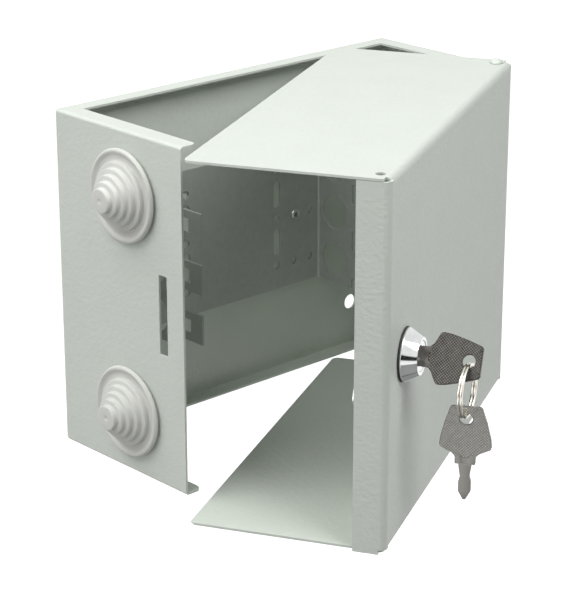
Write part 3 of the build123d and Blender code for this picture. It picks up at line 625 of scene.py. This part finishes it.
# paler finish for the diamond tops and rounded edges: wear together with a painted highlight
spare_rubbed_and_highlit = mix_finish("key_light_rubbed_and_highlit", (0.325, 0.316, 0.294), 1.0, 0.34)
rubbed_and_highlit_grain = cloud(spare_rubbed_and_highlit, NICKEL_GRAIN_PER_METRE, 4.0)
tint(spare_rubbed_and_highlit, rubbed_and_highlit_grain, (0.308, 0.299, 0.278), (0.342, 0.333, 0.31))
low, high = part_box("spare_key")
plate_side = Vector((cos(SPARE_YAW), sin(SPARE_YAW), 0))
spare = stamped_key("spare_key_stamped", spare_plating, spare_shaded_groove, spare_rubbed_and_highlit)
place = Matrix((up, plate_side, up.cross(plate_side))).transposed().to_4x4()
place.translation = Vector(((low.x + high.x) / 2, (low.y + high.y) / 2, high.z - KEY_END * MM))
spare.data.transform(place)
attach(spare, "spare_group")
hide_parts("spare_key")


# Split ring. Two flat coils of hard nickel-plated wire wound from one length, crossing over at one
# side, with square-cut ends.
RING_COLOUR = (0.74, 0.71, 0.64)
RING_DARK = (0.70, 0.67, 0.60)
RING_PALE = (0.78, 0.75, 0.68)
RING_GRAIN_PER_METRE = 800
ring_nickel = mix_finish("ring_nickel", RING_COLOUR, 1.0, 0.16)
ring_grain = cloud(ring_nickel, RING_GRAIN_PER_METRE, 3.0)
vary_gloss(ring_nickel, ring_grain, 0.12, 0.24)
tint(ring_nickel, ring_grain, RING_DARK, RING_PALE)
COIL_R = 10.1
COIL_OFF = 0.56
COIL_STEPS = 84
WIRE_IN = 0.7
WIRE_ALONG = 0.52
WIRE_CORNER_R = 0.42
CROSS_STEPS = 12
CROSS_ANGLE = radians(36)
CROSS_AT = radians(180)
corners = [(COIL_R - WIRE_IN, -WIRE_ALONG), (COIL_R + WIRE_IN, -WIRE_ALONG)]
corners += [(COIL_R + WIRE_IN, WIRE_ALONG), (COIL_R - WIRE_IN, WIRE_ALONG)]
wire = rounded(corners, [WIRE_CORNER_R] * 4, 4)
ring = drawn_line("split_ring_wound", [Vector((p.x * MM, 0, (p.y - COIL_OFF) * MM)) for p in wire])
bpy.ops.mesh.select_all(action="SELECT")
bpy.ops.mesh.edge_face_add()


def wind(steps, angle):
    bpy.ops.mesh.spin(steps=steps, angle=angle, center=(0, 0, 0), axis=(0, 0, 1), use_auto_merge=False)


wind(COIL_STEPS, 2 * pi - CROSS_ANGLE)
for k in range(CROSS_STEPS):
    here = -cos(pi * k / CROSS_STEPS)
    there = -cos(pi * (k + 1) / CROSS_STEPS)
    wind(1, CROSS_ANGLE / CROSS_STEPS)
    bpy.ops.transform.translate(value=(0, 0, (there - here) * COIL_OFF * MM))
wind(COIL_STEPS, 2 * pi - CROSS_ANGLE)
bpy.ops.mesh.select_all(action="SELECT")
bpy.ops.mesh.normals_make_consistent(inside=False)
bpy.ops.object.mode_set(mode="OBJECT")
bevelled(ring, 0.05 * MM, 1, over=80, smooth=50)
low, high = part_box("split_ring")
ring_axis = Vector(joints["ring_swing"]["axis"])
ring_out = ring_axis.cross(up).normalized() * cos(CROSS_AT) + up * sin(CROSS_AT)
stood(ring, (low + high) / 2, ring_axis, ring_out, ring_nickel)
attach(ring, "ring_group")
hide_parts("split_ring")


# Floor. A pale floor well below the box, which hangs on its wall. It takes the box's soft shadow near
# its foot, where its glow is also dimmed as painted shade, and goes to plain white further out.
FLOOR_Z = -0.6
FLOOR_ACROSS = 14
FLOOR_GREY = (0.55, 0.55, 0.55)
SHADOW_WITHIN = 0.3
WHITE_BEYOND = 0.8
DIMMED_GLOW_AS_SHADE = 0.25
GLOW_FAR = 1.0


def seen_rays(tree):
    rays = tree.nodes.new("ShaderNodeLightPath")
    seen = rays.outputs["Is Camera Ray"]
    for kind in ("Is Glossy Ray", "Is Transmission Ray"):
        either = tree.nodes.new("ShaderNodeMath")
        either.operation = "MAXIMUM"
        tree.links.new(seen, either.inputs[0])
        tree.links.new(rays.outputs[kind], either.inputs[1])
        seen = either.outputs[0]
    return seen


bpy.ops.object.select_all(action="DESELECT")
bpy.ops.mesh.primitive_plane_add(size=FLOOR_ACROSS, location=(0, 0, FLOOR_Z))
ground = bpy.context.object
ground.name = "ground"
pale = mix_finish("ground_pale", FLOOR_GREY, 0.0, 0.9)
tree = pale.node_tree
paint = tree.nodes["Principled BSDF"]
paint.inputs["Emission Color"].default_value = (1, 1, 1, 1)
where = tree.nodes.new("ShaderNodeTexCoord")
reach = tree.nodes.new("ShaderNodeVectorMath")
reach.operation = "LENGTH"
# the glow is dimmed within SHADOW_WITHIN of the foot: painted shade, which polished metal also reflects
fade = tree.nodes.new("ShaderNodeMapRange")
fade.inputs["From Min"].default_value = SHADOW_WITHIN
fade.inputs["From Max"].default_value = WHITE_BEYOND
fade.inputs["To Min"].default_value = DIMMED_GLOW_AS_SHADE
fade.inputs["To Max"].default_value = GLOW_FAR
glow = tree.nodes.new("ShaderNodeMath")
glow.operation = "MULTIPLY"
tree.links.new(where.outputs["Object"], reach.inputs[0])
tree.links.new(reach.outputs["Value"], fade.inputs["Value"])
tree.links.new(fade.outputs["Result"], glow.inputs[0])
tree.links.new(seen_rays(tree), glow.inputs[1])
tree.links.new(glow.outputs[0], paint.inputs["Emission Strength"])
ground.data.materials.append(pale)


# Boards. Painted reflections: a dark sheet in front and a grey sheet under the lock, both seen only in
# polished metal, give the chrome head its dark band and its grey lower half.
def board(name, place, turn, size, shade):
    bpy.ops.mesh.primitive_plane_add(size=1, location=place, rotation=turn)
    sheet = bpy.context.object
    sheet.name = name
    sheet.scale = (*size, 1)
    reflection_only_finish = mix_finish(name, (shade, shade, shade), 0.0, 0.9)
    tree = reflection_only_finish.node_tree
    clear = tree.nodes.new("ShaderNodeBsdfTransparent")
    shown = tree.nodes.new("ShaderNodeMixShader")
    rays = tree.nodes.new("ShaderNodeLightPath")
    tree.links.new(rays.outputs["Is Glossy Ray"], shown.inputs[0])
    tree.links.new(clear.outputs[0], shown.inputs[1])
    tree.links.new(tree.nodes["Principled BSDF"].outputs[0], shown.inputs[2])
    tree.links.new(shown.outputs[0], tree.nodes["Material Output"].inputs["Surface"])
    sheet.data.materials.append(reflection_only_finish)


board("painted_dark_reflection", (-0.9, -2.6, -0.1), (radians(90), 0, radians(-18)), (3.2, 0.8), 0.02)
board("painted_grey_reflection", (-0.08, -0.5, -0.5), (0, 0, 0), (1.05, 1.4), 0.4)


# Light. A white background that lights the box only a little, and four soft square lamps aimed at the
# middle of the box: two from the left, one above the front and one above the back.
LAMP_ACROSS = 0.9
LAMPS_AIM = Vector((0, -0.07, 0))
AMBIENT_STRENGTH = 0.03
world = bpy.data.worlds.new("studio")
world.use_nodes = True
bpy.context.scene.world = world
tree = world.node_tree
ambient = tree.nodes["Background"]
ambient.inputs["Color"].default_value = (0.97, 0.99, 1.0, 1)
ambient.inputs["Strength"].default_value = AMBIENT_STRENGTH
plain = tree.nodes.new("ShaderNodeBackground")
plain.inputs["Strength"].default_value = 1.0
plain.inputs["Color"].default_value = (1, 1, 1, 1)
blend = tree.nodes.new("ShaderNodeMixShader")
tree.links.new(seen_rays(tree), blend.inputs[0])
tree.links.new(ambient.outputs[0], blend.inputs[1])
tree.links.new(plain.outputs[0], blend.inputs[2])
tree.links.new(blend.outputs[0], tree.nodes["World Output"].inputs["Surface"])


def soft_lamp(name, place, power):
    lamp = bpy.data.lights.new(name, "AREA")
    lamp.shape = "SQUARE"
    lamp.size = LAMP_ACROSS
    lamp.energy = power
    holder = bpy.data.objects.new(name, lamp)
    bpy.context.scene.collection.objects.link(holder)
    holder.location = place
    holder.rotation_euler = (LAMPS_AIM - Vector(place)).to_track_quat("-Z", "Y").to_euler()


soft_lamp("above_left", (-0.8, 0.0, 1.2), 10)
soft_lamp("left", (-1.5, 0.0, 0.4), 4.5)
soft_lamp("above_front", (0.1, -1.0, 1.2), 17)
soft_lamp("above_back", (-0.8, 0.8, 1.1), 8.5)


# Camera. It stands to the left of the box and above it, where the photograph was taken from, with a
# long lens.
CAMERA_AT = (-0.6194, -0.7068, 0.3051)
LOOK_DOWN = 19.70
LOOK_RIGHT = 42.85
SENSOR_WIDTH = 36.0
PICTURE_LONG_SIDE = 592
FOCAL_LENGTH_PIXELS = 2202
view = bpy.data.cameras.new("photo_view")
view.sensor_fit = "AUTO"
view.sensor_width = SENSOR_WIDTH
view.lens = SENSOR_WIDTH * FOCAL_LENGTH_PIXELS / PICTURE_LONG_SIDE
view.clip_start = 0.01
camera = bpy.data.objects.new("photo_view", view)
bpy.context.scene.collection.objects.link(camera)
camera.location = CAMERA_AT
camera.rotation_euler = (radians(90 - LOOK_DOWN), 0, radians(-LOOK_RIGHT))
bpy.context.scene.camera = camera
bpy.context.scene.view_settings.view_transform = "Standard"
